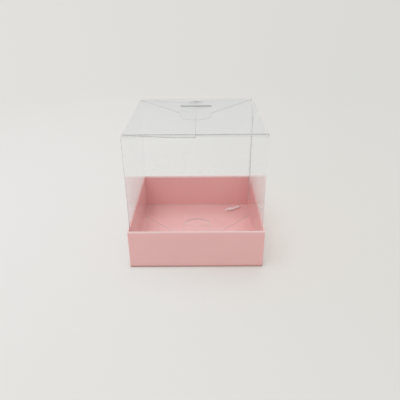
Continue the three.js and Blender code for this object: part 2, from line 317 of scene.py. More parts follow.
clear_face, tree, place = new_material("clear_face")
wear_and_painted_light = use(tree, uneven_fold_mask, place, {"Fold": painted(tree, "fold"), "Break Scale": 160.0, "Unevenness": 0.6})
marked = use(tree, handling_marks, place, {"Scratch Scale": 30.0, "Speck Scale": 150.0, "Amount": 0.5})
colour = mixed(tree, marked, sheet_clear, sheet_mark_grey)
dulled = sums(tree, "MAXIMUM", wear_and_painted_light, marked)
sheet_inputs = {
    # Along folds the sheet is painted grey, partly for the crushed crease and partly as painted shade.
    "Base Color": mixed(tree, wear_and_painted_light, colour, sheet_fold_grey),
    "Roughness": between(tree, dulled, 0.02, 0.2),
    "IOR": unbending,
    "Transmission Weight": 1.0,
    "Coat Weight": 1.0,
    "Coat Roughness": 0.03,
    "Coat IOR": 1.15,
    "Normal": bumped(tree, noise(tree, place, 28.0, Detail=1.0), 0.5, 0.25 * mm),
}
lay_over(tree, light_through(tree, principled(tree, sheet_inputs), light_through_face))

# %% [markdown]
# ## Finish: the sheet's folds
#
# A fold is a rounded strip less than a millimetre wide. In the real sheet the crease is crushed and
# scatters light, so it shows only as a faint grey line; here that line is painted grey, partly for the
# crushed crease and partly as painted shade, with a strength for each fold. A Principled surface with a
# low alpha does that: it lets light straight through and lays a thin veil over what is behind. Where
# the sheet was pinched sharply it is painted white instead, partly as whitening and partly as a painted
# highlight, and a second mask says where.

# %% The folds of the sheet
fold_pale = (0.93, 0.935, 0.935, 1)
fold_grey = (0.2, 0.2, 0.2, 1)

clear_fold, tree, place = new_material("clear_fold")
wear_and_painted_light = use(tree, uneven_fold_mask, place, {"Fold": painted(tree, "fold"), "Break Scale": 160.0, "Unevenness": 0.5})
crazed_and_glint = use(tree, uneven_fold_mask, place, {"Fold": painted(tree, "whitened_and_glint"), "Break Scale": 700.0, "Unevenness": 0.5})
veil = sums(tree, "MAXIMUM", wear_and_painted_light, crazed_and_glint)
fold_inputs = {
    # Folds are painted grey, partly for the crushed crease and partly as painted shade.
    "Base Color": mixed(tree, wear_and_painted_light, fold_pale, fold_grey),
    "Roughness": between(tree, veil, 0.12, 0.35),
    "Alpha": between(tree, veil, 0.02, 0.8),
}
lay_over(tree, principled(tree, fold_inputs))

# %% [markdown]
# ## Finish: the sheet's cut edge
#
# The die that cuts the sheet leaves an edge that is slightly frosted. Light that travels inside the
# sheet comes out there from far away, so an edge always looks darker than what is behind the sheet.
# These thin dark lines are what the eye reads a clear box by, and here their darkness is painted into
# the edge's colour as painted shade. Not every cut shows as much: an edge that lies flat on another
# sheet almost disappears. So the same fold attribute says here how dark a cut is.

# %% The sheet's cut edge
rim_dark = (0.06, 0.065, 0.065, 1)
rim_light = (0.2, 0.205, 0.205, 1)
rim_unseen = (0.86, 0.87, 0.87, 1)
light_through_rim = (0.96, 0.96, 0.96, 1)

sheet_rim, tree, place = new_material("sheet_rim")
burr = use(tree, fine_grain, place, {"Grain Scale": 5000.0, "Cloud Scale": 120.0, "Cloud Share": 0.7})
# The cut edge is painted dark, as painted shade, varied by the die's frosting.
frosted_and_shaded = mixed(tree, burr, rim_dark, rim_light)
rim_inputs = {
    "Base Color": mixed(tree, painted(tree, "fold"), rim_unseen, frosted_and_shaded),
    "Roughness": between(tree, burr.outputs["Relief"], 0.2, 0.4),
    "IOR": unbending,
    "Transmission Weight": 0.5,
}
lay_over(tree, light_through(tree, principled(tree, rim_inputs), light_through_rim))

# %% [markdown]
# ## Sizes that the pieces share
#
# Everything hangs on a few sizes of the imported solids, so those are read from the frame. The rest are
# the folding sizes of the two sheets: thicknesses, gaps, insets, and how far each flap reaches. The
# closures are drawn as shares of the box's width, counted from its front wall.

# %% Read and name the sizes
tray_low, tray_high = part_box("tray_front_wall")
box_low, box_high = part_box("box_front_wall")
tray_half = tray_high.x
tray_height = tray_high.z
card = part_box("tray_floor")[1].z
front_depth = tray_high.y - tray_low.y
side_low, side_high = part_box("tray_right_wall")
side_depth = side_high.x - side_low.x
foot_radius = 0.5 * mm
card_gap = 0.05 * mm

box_half = box_high.x
box_width = 2 * box_half
box_base = box_low.z
box_top = box_high.z
sheet = 0.3 * mm
layer_step = 0.4 * mm
wall_inset = 0.4 * mm  # from a wall's face to the hinge of its flap
corner_radius = 0.8 * mm
hinge_line = -box_half + wall_inset
sides_in_turn = ["front", "right", "rear", "left"]

top_shares = {"shoulder": 0.985, "neck": 0.55, "nose": 0.364, "slot": 0.765, "tongue_end": 0.897}
bottom_shares = {"shoulder": 0.77, "neck": 0.39, "nose": 0.204, "slot": 0.6, "tongue_end": 0.71}
print("tray", round(2 * tray_half / mm, 2), "mm wide, box", round(box_width / mm, 2), "mm wide")

# %% Turn, place and finish a piece
sharp_angle = math.radians(35)


def to_side(side, outwards=0.0):
    turned = Matrix.Rotation(sides_in_turn.index(side) * quarter, 4, "Z")
    return turned @ Matrix.Translation((0, -outwards, 0))


def finish_piece(mesh, matrix, node_names):
    mesh.transform(matrix)
    mesh.set_sharp_from_angle(angle=sharp_angle)
    piece = bpy.data.objects.new(mesh.name, mesh)
    scene.collection.objects.link(piece)
    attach(piece, body_of_node[node_names[0]])
    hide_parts(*node_names)
    size = [round(edge / mm, 2) for edge in piece.dimensions]
    print(piece.name, len(mesh.polygons), "faces,", size, "mm")


# %% [markdown]
# ## Folded walls
#
# Every wall, of card or of plastic, is a flat sheet that turns a corner along its edges. Its shape
# follows a rule: a section, with a fold wherever the section has a corner, is swept along the wall.
# That is work for Geometry Nodes. The section arrives as a chain of points that each carry the radius
# of their own fold. The tree rounds the corners, sweeps the section, lets the wall bow and its top edge
# dip, and then gives the sheet its thickness.
#
# A clear wall also runs round one upright corner of the box, so the path can end in a quarter arc.
# Where that bend meets the folds above and below, the real sheet is notched, and the tree removes them.

# %% The path that a wall follows
tree = folded_wall = bpy.data.node_groups.new("folded_wall", "GeometryNodeTree")
wall_sizes = ["Wall Start", "Wall End", "Corner Radius", "Thickness", "Bow", "Bow From", "Bow To", "Dip"]
notch_sizes = ["Notch Above", "Notch Below"]
wall_inputs = {
    "Geometry": ["Section"],
    "Float": wall_sizes + notch_sizes,
    "Int": ["Steps"],
    "Bool": ["Turns Corner"],
    "Material": ["Face Material", "Fold Material", "Edge Material"],
}
for kind, titles in wall_inputs.items():
    for title in titles:
        tree.interface.new_socket(title, in_out="INPUT", socket_type="NodeSocket" + kind)
tree.interface.new_socket("Wall", in_out="OUTPUT", socket_type="NodeSocketGeometry")
given = tree.nodes.new("NodeGroupInput").outputs
arc_steps = 9
path_weld = 0.001 * mm


def join(tree, *parts):
    node = tree.nodes.new("GeometryNodeJoinGeometry")
    for part in parts:
        tree.links.new(part.outputs[0], node.inputs[0])
    return node


def tested(tree, kind, operation, a, b):
    return add(tree, "FunctionNode" + kind, {0: a, 1: b}, operation=operation)


def finished(tree, geometry, material, where=True):
    inputs = {"Geometry": geometry, "Selection": where, "Material": material}
    return add(tree, "GeometryNodeSetMaterial", inputs)


start = add(tree, "ShaderNodeCombineXYZ", {"X": given["Wall Start"]})
end = add(tree, "ShaderNodeCombineXYZ", {"X": given["Wall End"]})
ends = {"Count": given["Steps"], "Start Location": start, "Offset": end}
straight = add(tree, "GeometryNodeMeshLine", ends, mode="END_POINTS")
bend = {"Resolution": arc_steps, "Radius": given["Corner Radius"], "Start Angle": -quarter, "Sweep Angle": quarter}
arc = add(tree, "GeometryNodeCurveArc", bend, mode="RADIUS")
arc_edges = add(tree, "GeometryNodeCurveToMesh", {"Curve": arc})
arc_place = add(tree, "ShaderNodeCombineXYZ", {"X": given["Wall End"], "Y": given["Corner Radius"]})
arc_moved = add(tree, "GeometryNodeTransform", {"Geometry": arc_edges, "Translation": arc_place})
arc_or_not = add(tree, "GeometryNodeSwitch", {"Switch": given["Turns Corner"], "True": arc_moved})
welded = add(
    tree, "GeometryNodeMergeByDistance", {"Geometry": join(tree, straight, arc_or_not), "Distance": path_weld}
)
path = add(tree, "GeometryNodeMeshToCurve", {"Mesh": welded})
path_up = add(tree, "GeometryNodeSetCurveNormal", {"Curve": path}, mode="Z_UP")
print("path built")

# %% The section, swept along the path
fold_steps = 6
own_radius = add(tree, "GeometryNodeInputNamedAttribute", {"Name": "fold_radius"}, data_type="FLOAT")
section = add(tree, "GeometryNodeMeshToCurve", {"Mesh": given["Section"]})
rounding = {"Curve": section, "Count": fold_steps, "Radius": own_radius, "Limit Radius": True}
folds = add(tree, "GeometryNodeFilletCurve", rounding, mode="POLY")
swept = add(tree, "GeometryNodeCurveToMesh", {"Curve": path_up, "Profile Curve": folds})

apart = add(tree, "ShaderNodeSeparateXYZ", {"Vector": add(tree, "GeometryNodeInputPosition")})
x_here, z_here = apart.outputs["X"], apart.outputs["Z"]
past_end = tested(tree, "Compare", "GREATER_THAN", x_here, given["Wall End"])
above_notch = tested(tree, "Compare", "GREATER_THAN", z_here, given["Notch Above"])
below_notch = tested(tree, "Compare", "LESS_THAN", z_here, given["Notch Below"])
folded_there = tested(tree, "BooleanMath", "OR", above_notch, below_notch)
in_notch = tested(tree, "BooleanMath", "AND", past_end, folded_there)
notched = add(tree, "GeometryNodeDeleteGeometry", {"Geometry": swept, "Selection": in_notch}, domain="FACE")
print("section swept")

# %% [markdown]
# A thin wall isn't flat: it bows in where nothing holds it, and the free edge of a card wall dips a
# little in its middle. Both follow a parabola, which is zero at the wall's ends. The bow is another
# parabola up the wall, zero where the tray or the flaps hold the sheet.

# %% Bow, dip and thickness
skin_weld = 0.0005 * mm
half_length = times(tree, minus(tree, given["Wall End"], given["Wall Start"]), 0.5)
along = sums(tree, "DIVIDE", x_here, half_length)
middle = minus(tree, 1.0, times(tree, along, along), clamp=True)
climb = between(tree, z_here, 0.0, 1.0, start=given["Bow From"], stop=given["Bow To"])
free = times(tree, times(tree, climb, minus(tree, 1.0, climb)), 4.0)  # 4 makes the parabola's top 1
bowed_by = times(tree, times(tree, free, middle), given["Bow"])
dipped_by = times(tree, times(tree, climb, middle), given["Dip"])
shift = add(tree, "ShaderNodeCombineXYZ", {"Y": bowed_by, "Z": times(tree, dipped_by, -1.0)})
bowed = add(tree, "GeometryNodeSetPosition", {"Geometry": notched, "Offset": shift})

half_thickness = times(tree, given["Thickness"], -0.5)
face_normal = add(tree, "GeometryNodeInputNormal")
half_in = add(tree, "ShaderNodeVectorMath", {0: face_normal, "Scale": half_thickness}, operation="SCALE")
inner = add(tree, "GeometryNodeSetPosition", {"Geometry": bowed, "Offset": half_in})
plain = finished(tree, inner, given["Face Material"])
is_fold = tested(tree, "BooleanMath", "OR", past_end, folded_there)
faced = finished(tree, plain, given["Fold Material"], is_fold)
growth = {"Mesh": faced, "Offset Scale": given["Thickness"], "Individual": False}
thick = add(tree, "GeometryNodeExtrudeMesh", growth, mode="FACES")
edged = finished(tree, thick, given["Edge Material"], thick.outputs["Side"])
shell = join(tree, edged, add(tree, "GeometryNodeFlipFaces", {"Mesh": faced}))
closed = add(tree, "GeometryNodeMergeByDistance", {"Geometry": shell, "Distance": skin_weld})
real = add(tree, "GeometryNodeRealizeInstances", {"Geometry": closed})
smooth = add(tree, "GeometryNodeSetShadeSmooth", {"Geometry": real})
add(tree, "NodeGroupOutput", {"Wall": smooth})
print("tree", folded_wall.name, "has", len(folded_wall.nodes), "nodes")

# %% [markdown]
# The tree runs as a modifier on a small mesh that holds only the section. Its inputs are set by their
# identifiers, because two inputs may share a name but never an identifier. One that a wall doesn't give
# stays at zero. The result is copied out as a plain mesh and turned to its side of the box.
#
# A section is written from its top end down to its foot, as how far in, how high and how round each
# point is, so that the swept faces look outwards.


# %% Run the tree on a section
def swept_wall(name, section_points, values):
    chain = bpy.data.meshes.new(name + ".section")
    points = [(-inwards, -height, 0) for inwards, height, _ in section_points]
    chain.from_pydata(points, [(i, i + 1) for i in range(len(points) - 1)], [])
    radii = chain.attributes.new("fold_radius", "FLOAT", "POINT")
    radii.data.foreach_set("value", [radius for _, _, radius in section_points])
    source = bpy.data.objects.new(name + ".section", chain)
    scene.collection.objects.link(source)
    modifier = source.modifiers.new("fold", "NODES")
    modifier.node_group = folded_wall
    for item in folded_wall.interface.items_tree:
        if item.item_type == "SOCKET" and item.name in values:
            modifier[item.identifier] = values[item.name]
    evaluated = source.evaluated_get(bpy.context.evaluated_depsgraph_get())
    made = bpy.data.meshes.new_from_object(evaluated)
    source.modifiers.clear()
    bpy.data.objects.remove(source)
    bpy.data.meshes.remove(chain)
    made.name = name
    return made


def upright_steps(top, bottom, step):
    count = max(2, round((top - bottom) / step))
    return [(0.0, top + (bottom - top) * i / count, 0.0) for i in range(1, count)]


print("walls can be swept")


# %% Paint masks on a mesh
def paint(mesh, title, strength_at):
    mask = mesh.attributes.get(title) or mesh.attributes.new(title, "FLOAT", "POINT")
    mask.data.foreach_set("value", [strength_at(vertex.co) for vertex in mesh.vertices])


def fading(distance, full_to, over):
    return max(0.0, 1 - max(0.0, distance - full_to) / over)


print("full, half, gone:", fading(0.0, 1.0, 2.0), fading(2.0, 1.0, 2.0), fading(3.0, 1.0, 2.0))

# %% [markdown]
# ## The tray's walls
#
# A tray wall starts at the floor's crease, stands up, and rolls over inwards at the top. On the real
# tray the roll goes on down as the lining, which is the next piece. The side walls are deeper, because
# they hold the glued corner tabs between their two layers, and they stop short of the rolled edges
# that cross their ends. The rolled edges are painted pale by different amounts, the rear one most:
# partly as wear and partly as a painted highlight. Along its foot each wall is painted darker, as
# painted shade where it meets the floor.

# %% Sweep the four tray walls
card_half = card / 2
wall_end_clearance = 0.02 * mm
tray_wall_steps = 41
tray_row = 0.7 * mm
roll_room = 0.9 * mm  # kept free of rows next to the folds
wear_and_highlight_full, wear_and_highlight_fade = 0.35 * mm, 0.5 * mm
foot_shade_full, foot_shade_fade = 0.35 * mm, 0.4 * mm
rim_dip = {"front": 0.2 * mm, "right": 0.3 * mm, "rear": 0.0, "left": 0.3 * mm}
rolled_edge_wear_and_highlight = {"front": 0.8, "right": 0.4, "rear": 1.3, "left": 0.4}


def tray_section(depth):
    roll = depth - card
    return [
        (roll, tray_height - depth / 2, 0.0),
        (roll, tray_height - card_half, roll / 2),
        (0.0, tray_height - card_half, roll / 2),
        *upright_steps(tray_height - roll_room, roll_room, tray_row),
        (0.0, card_half, foot_radius - card_half),
        (foot_radius + card_gap - card_half, card_half, 0.0),
    ]


for side in sides_in_turn:
    crosses = side in ("front", "rear")
    depth = front_depth if crosses else side_depth
    trimmed = 0 if crosses else max(front_depth, foot_radius) + card_gap
    half = tray_half - trimmed - wall_end_clearance
    name = f"tray_{side}_wall"
    wall_values = {
        "Wall Start": -half,
        "Wall End": half,
        "Steps": tray_wall_steps,
        "Thickness": card,
        "Bow To": tray_height,
        "Dip": rim_dip[side],
        "Face Material": card_face,
        "Fold Material": card_face,
        "Edge Material": card_core,
    }
    mesh = swept_wall(name + "_card", tray_section(depth), wall_values)
    # The rolled top is painted pale, partly as wear and partly as a painted highlight.
    wear_and_highlight = rolled_edge_wear_and_highlight[side]
    paint(mesh, "fold", lambda co: wear_and_highlight * fading(tray_height - co.z, wear_and_highlight_full, wear_and_highlight_fade))
    # The foot is painted darker, as painted shade where the wall meets the floor.
    paint(mesh, "painted_shade", lambda co: fading(co.z, foot_shade_full, foot_shade_fade))
    finish_piece(mesh, to_side(side, tray_half - card_half), [name])

# %% [markdown]
# ## Flat panels cut from a sheet
#
# Flaps, linings and the floor are flat pieces with a cut outline, some with a window or a slot. A face
# filled into the outline would have no points inside, and couldn't bow. Constrained Delaunay
# triangulation takes the outline and a grid of inner points together, and gives even triangles that
# follow every curve of the cut. The helper then lifts the points by a height that each piece gives,
# makes the two skins, and joins them with a rim whose edges are slightly rounded.
#
# A panel ends either in a cut or in a crease, where the sheet goes on as the next panel. Each piece
# gives a function that says how strongly its edge shows; on the clear sheet that is how dark its cut
# is painted, as painted shade. Where that is zero the edge is a crease: its rim stays square and gets
# the finish of a fold. Beside a cut the die presses a narrow band of the clear sheet, and part of the
# cut's painted shade is laid on that band, so a second row of points follows the cut, and the mask
# fades out between the two.


# %% Outlines
def side_pairs(loop):
    return zip(loop, loop[1:] + loop[:1])


def side_steps(loop, step):
    dense = []
    for a, b in side_pairs(loop):
        count = max(1, round((b - a).length / step))
        dense += [a.lerp(b, i / count) for i in range(count)]
    return dense


def signed_area(loop):
    return sum(a.cross(b) for a, b in side_pairs(loop)) / 2


def contains(loop, point):
    inside = False
    for a, b in side_pairs(loop):
        if (a.y > point.y) != (b.y > point.y):
            crossing = a.x + (point.y - a.y) / (b.y - a.y) * (b.x - a.x)
            if point.x < crossing:
                inside = not inside
    return inside


def on_sheet(loops, point):
    return contains(loops[0], point) and not any(contains(hole, point) for hole in loops[1:])


row_share = 0.87  # height of an even triangle as a share of its side
edge_share = 0.6  # how close inner points come to the outline


def inner_points(loops, step):
    outer = loops[0]
    edge_points = [p for loop in loops for p in loop]
    low_x, high_x = min(p.x for p in outer), max(p.x for p in outer)
    low_y, high_y = min(p.y for p in outer), max(p.y for p in outer)
    rows = int((high_y - low_y) / (step * row_share)) + 1
    columns = int((high_x - low_x) / step) + 1
    found = []
    for row in range(rows):
        for column in range(columns + 1):
            point = Vector((low_x + (column + row % 2 / 2) * step, low_y + row * step * row_share))
            if not on_sheet(loops, point):
                continue
            if min((point - p).length_squared for p in edge_points) > (edge_share * step) ** 2:
                found.append(point)
    return found


print("outlines ready")


# %% Triangles between the outlines
def outward_normals(loop):
    normals = []
    for i, point in enumerate(loop):
        along_edge = (point - loop[i - 1]).normalized() + (loop[(i + 1) % len(loop)] - point).normalized()
        normals.append(Vector((along_edge.y, -along_edge.x)).normalized())
    return normals


def triangulated(loops, points, edges):
    cut = delaunay_2d_cdt([p / mm for p in points], edges, [], 1, 1e-5)
    source = {made: originals[-1] for made, originals in enumerate(cut[3]) if originals}
    triangles = []
    for face in cut[2]:
        centre = sum((cut[0][i] for i in face), Vector((0, 0))) * mm / len(face)
        if on_sheet(loops, centre):
            triangles.append([source[i] for i in face])
    return triangles


nudge = 0.02 * mm  # step for measuring a slope


def lifted(height, p, offset):
    x_slope = (height(p.x + nudge, p.y) - height(p.x - nudge, p.y)) / (2 * nudge)
    y_slope = (height(p.x, p.y + nudge) - height(p.x, p.y - nudge)) / (2 * nudge)
    return Vector((p.x, p.y, height(p.x, p.y))) + Vector((-x_slope, -y_slope, 1)).normalized() * offset


print("triangles ready")


# %% Cut a panel
def nowhere(x, y):
    return 0.0


def everywhere(x, y):
    return 1.0


card_stock = {"thickness": card, "face": card_face, "cut": card_core, "crease": card_face, "pressed_and_shaded": 0.0}
clear_stock = {"thickness": sheet, "face": clear_face, "cut": sheet_rim, "crease": clear_fold, "pressed_and_shaded": 0.7}
finishes = ["face", "cut", "crease"]  # in the order of a panel's material numbers
shaded_band = 0.35 * mm
cut_bevel = 0.06 * mm


def cut_panel(name, outline, holes, stock, height=nowhere, fold=nowhere, edge=everywhere, step=2 * mm):
    loops = [side_steps(loop, step) for loop in [outline, *holes]]
    loops = [loop if (signed_area(loop) > 0) == (i == 0) else loop[::-1] for i, loop in enumerate(loops)]
    points = [p for loop in loops for p in loop]
    outs = [n for loop in loops for n in outward_normals(loop)]
    edges, first = [], 0
    for loop in loops:
        edges += [(first + i, first + (i + 1) % len(loop)) for i in range(len(loop))]
        first += len(loop)
    shown = [edge(p.x, p.y) for p in points]
    pressed_and_shaded = [p - n * shaded_band for p, n, strength in zip(points, outs, shown) if strength * stock["pressed_and_shaded"]]
    points += pressed_and_shaded + inner_points(loops, step)
    outs = [n if strength else Vector((0, 0)) for n, strength in zip(outs, shown)]
    outs += [Vector((0, 0))] * (len(points) - len(outs))
    triangles = triangulated(loops, points, edges)

    count, rim = len(points), len(edges)
    skin_level = stock["thickness"] / 2
    bevel = min(cut_bevel, skin_level / 2)
    verts = [lifted(height, p - n * bevel, skin_level) for p, n in zip(points, outs)]
    verts += [lifted(height, p - n * bevel, -skin_level) for p, n in zip(points, outs)]
    verts += [lifted(height, p, skin_level - bevel) for p in points[:rim]]
    verts += [lifted(height, p, bevel - skin_level) for p in points[:rim]]
    faces = triangles + [[i + count for i in reversed(face)] for face in triangles]
    finish_of_face = [finishes.index("face")] * len(faces)
    rows = [[0, 2 * count], [2 * count, 2 * count + rim], [2 * count + rim, count]]
    for a, b in edges:
        faces += [[low + a, low + b, high + b, high + a] for high, low in rows]
        finish_of_face += [finishes.index("cut" if shown[a] and shown[b] else "crease")] * len(rows)

    mesh = bpy.data.meshes.new(name)
    mesh.from_pydata(verts, [], faces)
    for finish in finishes:
        mesh.materials.append(stock[finish])
    mesh.polygons.foreach_set("use_smooth", [True] * len(faces))
    mesh.polygons.foreach_set("material_index", finish_of_face)
    skin = [fold(p.x, p.y) for p in points]
    skin[:rim] = [max(folded, stock["pressed_and_shaded"] * strength) for folded, strength in zip(skin, shown)]
    mask = mesh.attributes.new("fold", "FLOAT", "POINT")
    mask.data.foreach_set("value", skin * 2 + shown * 2)
    return mesh


def rectangle(left, right, bottom, top):
    return [Vector((left, bottom)), Vector((right, bottom)), Vector((right, top)), Vector((left, top))]


print("panels can be cut")

# %% [markdown]
# ## The tray's floor and linings
#
# The floor is a plain square of card between the four foot creases. The linings are the parts of the
# sheet that were rolled inwards over the walls. They stand just inside them, reach down to the floor,
# and dip with the rims. Under each roll a darker line is painted, as painted shade where the roll
# shades the lining. The rear lining is painted pale at its top, partly as rubbing and partly as a
# painted highlight, and its painted shade lies lower and shows less. The corner tabs hide between two
# layers, so their packed solids are good as they are and only get the card's finish.

# %% Cut the floor
floor_half = tray_half - foot_radius - card_gap
floor_outline = rectangle(-floor_half, floor_half, -floor_half, floor_half)
mesh = cut_panel("tray_floor_card", floor_outline, [], card_stock, edge=nowhere, step=3 * mm)
finish_piece(mesh, Matrix.Translation((0, 0, card_half)), ["tray_floor"])

# %% Cut the linings
hair = 0.01 * mm
lining_rub_and_highlight = {"front": 0.0, "right": 0.1, "rear": 1.3, "left": 0.1}
lining_shade_strength = {"front": 0.6, "right": 0.6, "rear": 0.2, "left": 0.6}
lining_shade_depth = {"front": 0.0, "right": 0.0, "rear": 1.5 * mm, "left": 0.0}
painted_shade_fade = 0.9 * mm
rub_and_highlight_full, rub_and_highlight_fade = 0.7 * mm, 0.4 * mm
stand_up = Matrix(((1, 0, 0, 0), (0, 0, -1, 0), (0, 1, 0, 0), (0, 0, 0, 1)))

for side in sides_in_turn:
    name = f"tray_{side}_lining"
    low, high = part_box(name)
    crosses = side in ("front", "rear")
    half = high.x if crosses else high.y
    depth = front_depth if crosses else side_depth
    top = high.z
    mesh = cut_panel(
        name + "_card",
        rectangle(-half, half, low.z, top),
        [],
        card_stock,
        edge=lambda x, y: 0.0 if y > top - hair else 1.0,
        step=0.9 * mm,
    )
    # A lining's top is painted pale, partly as rubbing and partly as a painted highlight, the rear one most; under
    # each roll it is painted darker, as painted shade.
    rub_and_highlight, painted_shade, shaded_at = lining_rub_and_highlight[side], lining_shade_strength[side], top - lining_shade_depth[side]
    paint(mesh, "painted_shade", lambda co: painted_shade * fading(abs(shaded_at - co.y), 0.0, painted_shade_fade))
    paint(mesh, "fold", lambda co: rub_and_highlight * fading(top - co.y, rub_and_highlight_full, rub_and_highlight_fade))
    for vertex in mesh.vertices:
        vertex.co.y -= rim_dip[side] * vertex.co.y / tray_height * (1 - (vertex.co.x / tray_half) ** 2)
    finish_piece(mesh, to_side(side, tray_half - depth + card_half) @ stand_up, [name])

# %% Finish the corner tabs
for side in ("left", "right"):
    for end_name in ("front", "rear"):
        tab = frame["nodes"][f"tray_{end_name}_{side}_corner_tab"]
        tab.data.materials.clear()
        tab.data.materials.append(card_face)
print("4 corner tabs get the card's finish")

# %% [markdown]
# ## The clear walls
#
# The four clear walls come from the same tree. Each has a small fold above and below that leads over to
# its flap, and turns one upright corner of the box, up to the next wall. The front wall reaches
# highest, because its flap lies on top of all the others, and the side walls stop lowest.
#
# Above the tray the walls bow in a little, the right one most. The left one bows less, because the
# left dust flap swings down close to it. Each fold is painted grey, partly for the crushed crease and
# partly as painted shade: the front fold is the darkest line, and below the rim the painted line of a
# fold or an upright bend is weaker, because the card behind hides most of what it shows.

# %% Sweep the four clear walls
sheet_half = sheet / 2
fold_reach = wall_inset - sheet_half - 0.03 * mm  # stops a hair before the flap
clear_wall_steps = 33
clear_row = 2 * mm
fold_room = 0.6 * mm  # kept free of rows next to the folds
bend_clearance = 0.02 * mm
layers_above_wall = {"front": 0, "right": 2, "rear": 1, "left": 2}
inward_bow = {"front": 0.3 * mm, "right": 1.0 * mm, "rear": 0.4 * mm, "left": 0.65 * mm}
# How dark each fold and upright bend is painted, partly for the crushed crease and partly as painted shade.
crease_strength = {"front": 0.8, "right": 0.0, "rear": 0.1, "left": 0.0}
upright_strength = {"front": 0.06, "right": 0.2, "rear": 0.0, "left": 0.03}
shown_in_tray = 0.3
bend_start = box_half - corner_radius


def clear_fold_strength(side, top, bottom):
    def strength(co):
        if co.z > top - wall_inset + bend_clearance:
            return crease_strength[side]
        if co.z < bottom + wall_inset - bend_clearance:
            return shown_in_tray * crease_strength[side]
        shown = 1.0 if co.z > tray_height else shown_in_tray
        return shown * upright_strength[side] if co.x > bend_start + bend_clearance else 0.0

    return strength


for side in sides_in_turn:
    cut_back = layers_above_wall[side] * layer_step
    top = box_top - cut_back
    bottom = box_base + cut_back
    clear_section = [
        (fold_reach, top - sheet_half, 0.0),
        (0.0, top - sheet_half, fold_reach),
        *upright_steps(top - fold_room, bottom + fold_room, clear_row),
        (0.0, bottom + sheet_half, fold_reach),
        (fold_reach, bottom + sheet_half, 0.0),
    ]
    name = f"box_{side}_wall"
    wall_values = {
        "Wall Start": bend_clearance - bend_start,
        "Wall End": bend_start,
        "Steps": clear_wall_steps,
        "Turns Corner": True,
        "Corner Radius": corner_radius - sheet_half,
        "Thickness": sheet,
        "Bow": inward_bow[side],
        "Bow From": tray_height,
        "Bow To": top,
        "Notch Above": top - wall_inset,
        "Notch Below": bottom + wall_inset,
        "Face Material": clear_face,
        "Fold Material": clear_fold,
        "Edge Material": clear_fold,
    }
    mesh = swept_wall(name + "_sheet", clear_section, wall_values)
    paint(mesh, "fold", clear_fold_strength(side, top, bottom))
    finish_piece(mesh, to_side(side, box_half - sheet_half), [name])

# %% [markdown]
# ## The glued seam
#
# One end of the clear sheet is a narrow flap, glued inside the right-hand wall next to the rear corner.
# Its tapered ends keep it clear of the folds, and it bows with the wall that it is glued to. Its edge is
# a faint second line beside the corner, and hardly shows in front of the card.

# %% Cut the glue flap
seam_low, seam_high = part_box("box_glue_flap")
seam_taper = 4 * mm
seam_shown_above, seam_shown_in_tray = 0.15, 0.04
seam_outline = [
    Vector((seam_low.y, seam_low.z + seam_taper)),
    Vector((seam_high.y, seam_low.z)),
    Vector((seam_high.y, seam_high.z)),
    Vector((seam_low.y, seam_high.z - seam_taper)),
]


def bowed_with_wall(x, y):
    climb = min(1.0, max(0.0, (y - tray_height) / (box_top - 2 * layer_step - tray_height)))
    across = 1 - (x / bend_start) ** 2
    return -inward_bow["right"] * 4 * climb * (1 - climb) * across


def seam_edge(x, y):
    return seam_shown_above if y > tray_height else seam_shown_in_tray


mesh = cut_panel(
    "box_glue_flap_sheet", seam_outline, [], clear_stock, height=bowed_with_wall, edge=seam_edge, step=3 * mm
)
finish_piece(mesh, to_side("right", (seam_low.x + seam_high.x) / 2) @ stand_up, ["box_glue_flap"])

# %% [markdown]
# ## Outlines of the closure
#
# Both ends of the box close in the same way. Two dust flaps meet in the middle. A rear flap with a
# round nose and a slot lies over them, and the front flap covers all. A tongue is cut in the front flap
# on three sides, and its round end dips through the slot. The outlines are drawn flat from the hinge
# line: across the flap, and away from the hinge.

# %% Sizes and curves of the flaps
front_side_inset = 1.6 * mm
front_rear_inset = 1 * mm
front_corner_radius = 3 * mm
rear_side_inset = 0.35 * mm
neck_fillet = 3 * mm
dust_side_inset = 1.1 * mm
dust_corner_cut = 2 * mm
tongue_half = 9.3 * mm
tongue_kerf = 0.12 * mm
slot_opening = 2.4 * mm
slot_overlength = 0.7 * mm
corner_steps, neck_steps, round_steps = 8, 6, 28


def from_front(share):
    return share * box_width - wall_inset


def from_rear(share):
    return (1 - share) * box_width - wall_inset


def arc_points(centre, across, along_y, first, last, count):
    angles = [first + (last - first) * i / count for i in range(count + 1)]
    return [Vector((centre[0] + across * math.cos(a), centre[1] + along_y * math.sin(a))) for a in angles]


def bezier_points(a, b, c, count):
    shares = [i / count for i in range(1, count + 1)]
    return [a.lerp(b, t).lerp(b.lerp(c, t), t) for t in shares]


print("tongue", round(2 * tongue_half / mm, 2), "mm wide")


# %% Draw the flaps
def tongue_outline(shares, margin):
    half = tongue_half + margin
    root = from_front(shares["neck"])
    round_from = from_front(shares["slot"])
    tip = from_front(shares["tongue_end"]) + margin
    end = arc_points((0, round_from), half, tip - round_from, 0, math.pi, round_steps)
    return [Vector((half, root)), *end, Vector((-half, root))]


def tongue_cut(shares):
    return tongue_outline(shares, tongue_kerf) + tongue_outline(shares, 0)[::-1]


def front_outline():
    half = box_half - front_side_inset
    tip = box_width - wall_inset - front_rear_inset
    r = front_corner_radius
    right = arc_points((half - r, tip - r), r, r, 0, quarter, corner_steps)
    left = arc_points((r - half, tip - r), r, r, quarter, math.pi, corner_steps)
    return [Vector((-half, 0)), Vector((half, 0)), *right, *left]


def slot_outline(shares):
    r = slot_opening / 2
    middle = from_rear(shares["slot"])
    far = tongue_half + slot_overlength - r
    right = arc_points((far, middle), r, r, -quarter, quarter, corner_steps)
    left = arc_points((-far, middle), r, r, quarter, 3 * quarter, corner_steps)
    return right + left


